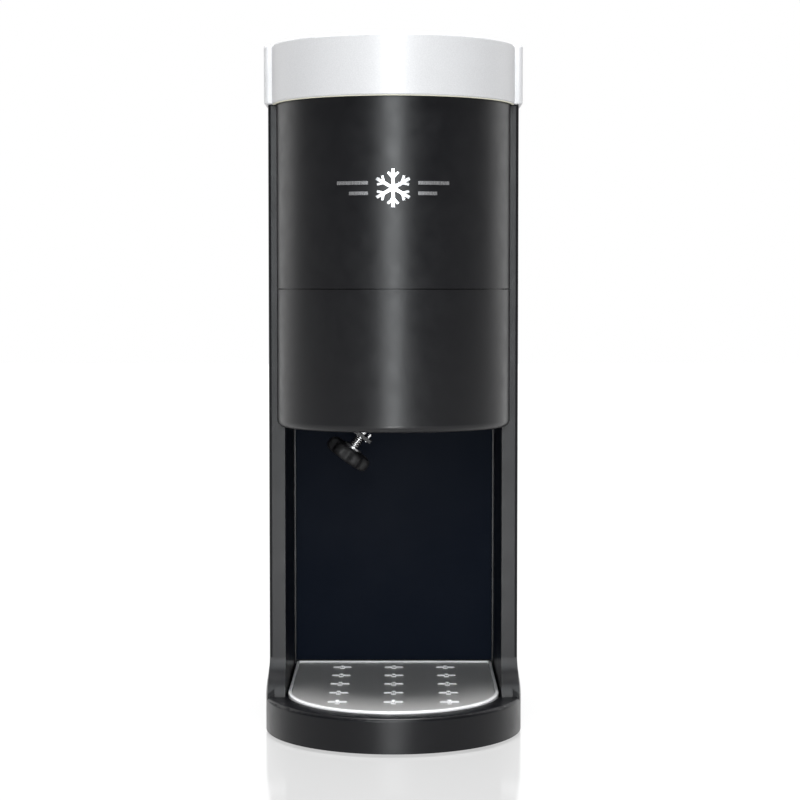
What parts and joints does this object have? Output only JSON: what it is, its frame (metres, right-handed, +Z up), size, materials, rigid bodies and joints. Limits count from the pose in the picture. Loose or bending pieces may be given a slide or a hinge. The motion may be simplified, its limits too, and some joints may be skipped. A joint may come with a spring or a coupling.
{
  "type": "shaved ice machine",
  "caption": "Tall electric shaved ice machine: round-fronted hopper head over an open serving bay, lift-off geared lid, adjustable blade and removable drip tray.",
  "frame": {"origin": "on the surface it stands on, under the centre of the whole machine", "axes": "+Z up, +Y to the rear, front faces -Y, +X to the right seen from the front"},
  "size_m": [0.1568, 0.2118, 0.4189],
  "materials": {
    "black_abs": "satin, fine grain",
    "bay_panel": "polished dark blue",
    "lid_silver": "satin silver paint",
    "emblem": "bright satin",
    "inner_plastic": "moulded",
    "hopper_plastic": "moulded, food safe",
    "knob_black": "moulded",
    "stainless": "brushed",
    "coated_steel": "black coated",
    "spring_steel": "bright wire",
    "screws": "zinc plated",
    "feet_rubber": "moulded",
    "seal_rubber": "moulded cream silicone",
    "nylon": "natural nylon",
    "bronze": "sintered",
    "motor_steel": "plated",
    "motor_alloy": "cast",
    "lamination": "stacked",
    "bearing_steel": "ground",
    "electric_black": "moulded",
    "rocker_red": "moulded",
    "plunger_white": "moulded",
    "board": "laminate",
    "wire": "sheathed",
    "tray_white": "glossy moulding",
    "grate_dark": "grey satin enamel"
  },
  "bodies": {
    "machine": {"main_casing": "black_abs", "base_plate": "black_abs", "base_plate_screws": "screws", "rubber_feet": "feet_rubber", "bay_back_panel": "bay_panel", "bay_ceiling": "black_abs", "rear_cover": "black_abs", "rear_cover_screws": "screws", "top_deck": "inner_plastic", "lower_front_shell": "black_abs", "upper_front_shell": "black_abs", "badge": "emblem", "blade_deck": "stainless", "hopper": "hopper_plastic", "deck_screws": "screws", "blade_guides": "inner_plastic", "adjust_bracket": "coated_steel", "spring_peg": "stainless", "knob_spring": "spring_steel", "motor_can": "motor_steel", "motor_end_caps": "motor_alloy", "stator": "lamination", "motor_bearings": "bearing_steel", "motor_bracket": "motor_steel", "motor_grommets": "feet_rubber", "motor_screws": "screws", "power_inlet": "electric_black", "switch_body": "electric_black", "interlock_switch": "electric_black", "control_board": "board", "wire_loom": "wire"},
    "lid": {"lid_cover": "lid_silver", "lid_base": "inner_plastic", "lid_screws": "screws", "lid_seal": "seal_rubber", "idler_axle": "stainless", "spindle_bearing": "bronze", "input_bearing": "bronze"},
    "spindle": {"spindle_gear": "nylon", "drive_tube": "stainless"},
    "idler": {"idler_gear": "nylon"},
    "input": {"input_pinion": "nylon"},
    "gripper": {"gripper_shaft": "stainless", "ice_gripper": "stainless", "gripper_spring": "spring_steel"},
    "motor_rotor": {"rotor": "lamination", "motor_fan": "nylon", "motor_shaft": "stainless", "drive_coupling": "nylon"},
    "adjuster": {"adjust_knob": "knob_black", "adjust_screw": "spring_steel", "knob_washer": "stainless"},
    "blade_unit": {"blade": "stainless", "blade_carriage": "inner_plastic", "blade_screws": "screws"},
    "rocker": {"switch_rocker": "rocker_red"},
    "plunger": {"interlock_plunger": "plunger_white"},
    "tray": {"drip_tray": "tray_white", "grate_studs": "tray_white"},
    "grate": {"drip_grate": "grate_dark"}
  },
  "joints": [
    {"name": "lid_lift", "type": "slide", "parent": "machine", "child": "lid", "axis": [0, 0, 1], "range_m": [0, 0.19]},
    {"name": "spindle_spin", "type": "hinge", "parent": "lid", "child": "spindle", "pos_m": [0, -0.0275, 0.39], "axis": [0, 0, 1], "continuous": true},
    {"name": "idler_spin", "type": "hinge", "parent": "lid", "child": "idler", "pos_m": [0, 0.0355, 0.39], "axis": [0, 0, 1], "continuous": true},
    {"name": "input_spin", "type": "hinge", "parent": "lid", "child": "input", "pos_m": [0, 0.064, 0.39], "axis": [0, 0, 1], "continuous": true},
    {"name": "motor_spin", "type": "hinge", "parent": "machine", "child": "motor_rotor", "pos_m": [0, 0.064, 0.3], "axis": [0, 0, 1], "continuous": true},
    {"name": "gripper_slide", "type": "slide", "parent": "spindle", "child": "gripper", "axis": [0, 0, 1], "range_m": [0, 0.05], "stiffness_N_per_m": 60, "springref_m": -0.06, "deforming": ["gripper_spring"]},
    {"name": "knob_turn", "type": "hinge", "parent": "machine", "child": "adjuster", "pos_m": [-0.0298, 0.0015, 0.1668], "axis": [0.5878, 0, 0.809], "range_deg": [-360, 360]},
    {"name": "blade_feed", "type": "slide", "parent": "machine", "child": "blade_unit", "axis": [0.5878, 0, 0.809], "range_m": [-0.0007, 0.0007]},
    {"name": "rocker_tilt", "type": "hinge", "parent": "machine", "child": "rocker", "pos_m": [0.03, 0.1004, 0.058], "axis": [0, 0, 1], "range_deg": [0, 12]},
    {"name": "plunger_press", "type": "slide", "parent": "machine", "child": "plunger", "axis": [0, 0, 1], "range_m": [-0.002, 0], "stiffness_N_per_m": 400, "springref_m": 0.002},
    {"name": "tray_lift", "type": "slide", "parent": "machine", "child": "tray", "axis": [0, 0, 1], "range_m": [0, 0.07]},
    {"name": "grate_lift", "type": "slide", "parent": "tray", "child": "grate", "axis": [0, 0, 1], "range_m": [0, 0.05]}
  ],
  "couplings": [
    {"joint": "idler_spin", "follows": "spindle_spin", "ratio": -2.5},
    {"joint": "input_spin", "follows": "spindle_spin", "ratio": 4.2857},
    {"joint": "motor_spin", "follows": "spindle_spin", "ratio": 4.2857},
    {"joint": "knob_turn", "follows": "blade_feed", "rad_per_m": 8967}
  ]
}
